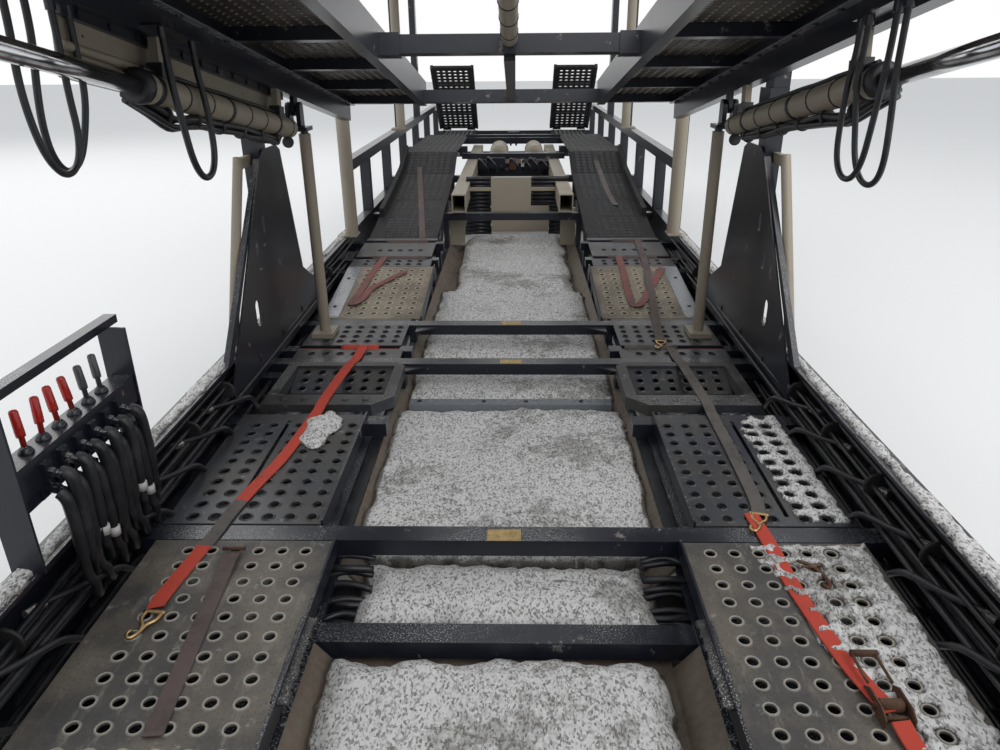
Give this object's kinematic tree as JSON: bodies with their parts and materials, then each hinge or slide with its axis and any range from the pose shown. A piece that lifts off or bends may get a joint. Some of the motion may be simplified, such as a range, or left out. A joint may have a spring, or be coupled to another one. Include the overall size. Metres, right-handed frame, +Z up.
{
  "type": "car transporter semi-trailer",
  "caption": "Double-deck car-carrying semi-trailer: perforated lower tracks in a low well, tilting upper decks on lift posts, twin-wheel tandem and fold-down tail ramps.",
  "frame": {"origin": "middle of the bounding box at ground level", "axes": "+Y towards the trailer's rear, +X towards its left, +Z up"},
  "size_m": [2.606, 16.15, 3.18],
  "materials": {
    "black_paint": "gloss blue-black paint, worn and dirty",
    "beige_paint": "satin beige-grey paint, dirty",
    "worn_deck_steel": "worn bare steel with grit",
    "worn_black_deck": "black paint worn to the metal",
    "beige_deck": "beige paint, worn and dirty",
    "track_sheet": "galvanised sheet, dull",
    "axle_steel": "matt black",
    "bare_steel": "greased bare steel",
    "chrome_rod": "polished rod",
    "wheel_steel": "white-grey steel wheel",
    "tyre": "black tyre rubber",
    "spring_rubber": "black rubber bellows",
    "flap_rubber": "black rubber sheet",
    "hose_rubber": "black hose",
    "strap_webbing": "worn orange-red polyester webbing",
    "red_lamp": "red lens",
    "amber_lamp": "amber lens",
    "red_plastic": "red lever sleeve"
  },
  "bodies": {
    "frame": {"side_rails": "black_paint", "cross_members": "black_paint", "belly_pan": "beige_paint", "front_deck_plates": "worn_deck_steel", "middle_deck_plates": "worn_black_deck", "slot_deck_plates": "worn_black_deck", "beige_deck_plates": "beige_deck", "strap_rolls": "strap_webbing", "axle_tracks": "worn_black_deck", "side_trusses": "black_paint", "track_beams": "black_paint", "axle_subframe": "beige_paint", "axles_and_arms": "axle_steel", "air_springs": "spring_rubber", "air_tanks": "beige_paint", "bulkhead": "black_paint", "neck_frame": "black_paint", "neck_deck_plates": "worn_deck_steel", "kingpin_plate": "bare_steel", "landing_gear": "black_paint", "deck_posts": "black_paint", "main_gussets": "black_paint", "lift_barrels": "beige_paint", "upper_neck_frame": "black_paint", "upper_neck_tracks": "track_sheet", "tail_frame": "black_paint", "tail_lamps": "red_lamp", "side_lamps": "amber_lamp", "mudflaps": "flap_rubber", "valve_bank": "black_paint", "valve_levers": "red_plastic", "hose_runs": "hose_rubber"},
    "wheels_1_left": {"tyres_axle_1_left": "tyre", "wheels_axle_1_left": "wheel_steel"},
    "wheels_1_right": {"tyres_axle_1_right": "tyre", "wheels_axle_1_right": "wheel_steel"},
    "wheels_2_left": {"tyres_axle_2_left": "tyre", "wheels_axle_2_left": "wheel_steel"},
    "wheels_2_right": {"tyres_axle_2_right": "tyre", "wheels_axle_2_right": "wheel_steel"},
    "main_crosshead": {"main_crosshead": "black_paint"},
    "front_platform": {"front_platform_frame": "black_paint", "front_platform_bars": "black_paint", "front_platform_tracks": "track_sheet", "front_platform_cylinders": "beige_paint", "front_platform_skirt": "beige_paint", "hose_loop_right_outer": "hose_rubber", "hose_loop_right_inner": "hose_rubber", "hose_loop_left_outer": "hose_rubber", "hose_loop_left_inner": "hose_rubber", "hose_loop_left_rear": "hose_rubber"},
    "far_rods": {"far_lift_rods": "chrome_rod"},
    "rear_crosshead": {"rear_crosshead": "black_paint"},
    "rear_platform": {"rear_platform_frame": "black_paint", "rear_platform_bars": "black_paint", "rear_platform_tracks": "track_sheet"},
    "flap_left": {"deck_flap_left": "worn_black_deck"},
    "flap_right": {"deck_flap_right": "worn_black_deck"},
    "ramp_left": {"tail_ramp_left": "worn_black_deck"},
    "ramp_right": {"tail_ramp_right": "worn_black_deck"}
  },
  "joints": [
    {"name": "wheel_spin_1_left", "type": "hinge", "parent": "frame", "child": "wheels_1_left", "pos_m": [1.042, 3.35, 0.4], "axis": [1, 0, 0], "continuous": true},
    {"name": "wheel_spin_1_right", "type": "hinge", "parent": "frame", "child": "wheels_1_right", "pos_m": [-1.042, 3.35, 0.4], "axis": [1, 0, 0], "continuous": true},
    {"name": "wheel_spin_2_left", "type": "hinge", "parent": "frame", "child": "wheels_2_left", "pos_m": [1.042, 4.595, 0.4], "axis": [1, 0, 0], "continuous": true},
    {"name": "wheel_spin_2_right", "type": "hinge", "parent": "frame", "child": "wheels_2_right", "pos_m": [-1.042, 4.595, 0.4], "axis": [1, 0, 0], "continuous": true},
    {"name": "front_deck_lift", "type": "slide", "parent": "frame", "child": "main_crosshead", "axis": [0, 0, 1], "range_m": [0, 0.75]},
    {"name": "front_deck_tilt", "type": "hinge", "parent": "main_crosshead", "child": "front_platform", "pos_m": [0, -0.82, 1.8], "axis": [1, 0, 0], "range_deg": [0, 12]},
    {"name": "far_rod_lift", "type": "slide", "parent": "frame", "child": "far_rods", "axis": [0, 0, 1], "range_m": [0, 0.75]},
    {"name": "rear_deck_lift", "type": "slide", "parent": "frame", "child": "rear_crosshead", "axis": [0, 0, 1], "range_m": [0, 0.35]},
    {"name": "rear_deck_tilt", "type": "hinge", "parent": "rear_crosshead", "child": "rear_platform", "pos_m": [0, 3.5, 2.69], "axis": [1, 0, 0], "range_deg": [-14, 4]},
    {"name": "flap_hinge_left", "type": "hinge", "parent": "frame", "child": "flap_left", "pos_m": [0.83, -1.815, 0.56], "axis": [1, 0, 0], "range_deg": [0, 35]},
    {"name": "flap_hinge_right", "type": "hinge", "parent": "frame", "child": "flap_right", "pos_m": [-0.83, -1.815, 0.56], "axis": [1, 0, 0], "range_deg": [0, 35]},
    {"name": "ramp_hinge_left", "type": "hinge", "parent": "frame", "child": "ramp_left", "pos_m": [0.885, 7.82, 0.94], "axis": [1, 0, 0], "range_deg": [-174, 12]},
    {"name": "ramp_hinge_right", "type": "hinge", "parent": "frame", "child": "ramp_right", "pos_m": [-0.885, 7.82, 0.94], "axis": [1, 0, 0], "range_deg": [-174, 12]}
  ],
  "couplings": [
    {"joint": "far_rod_lift", "follows": "front_deck_lift", "ratio": 1}
  ]
}
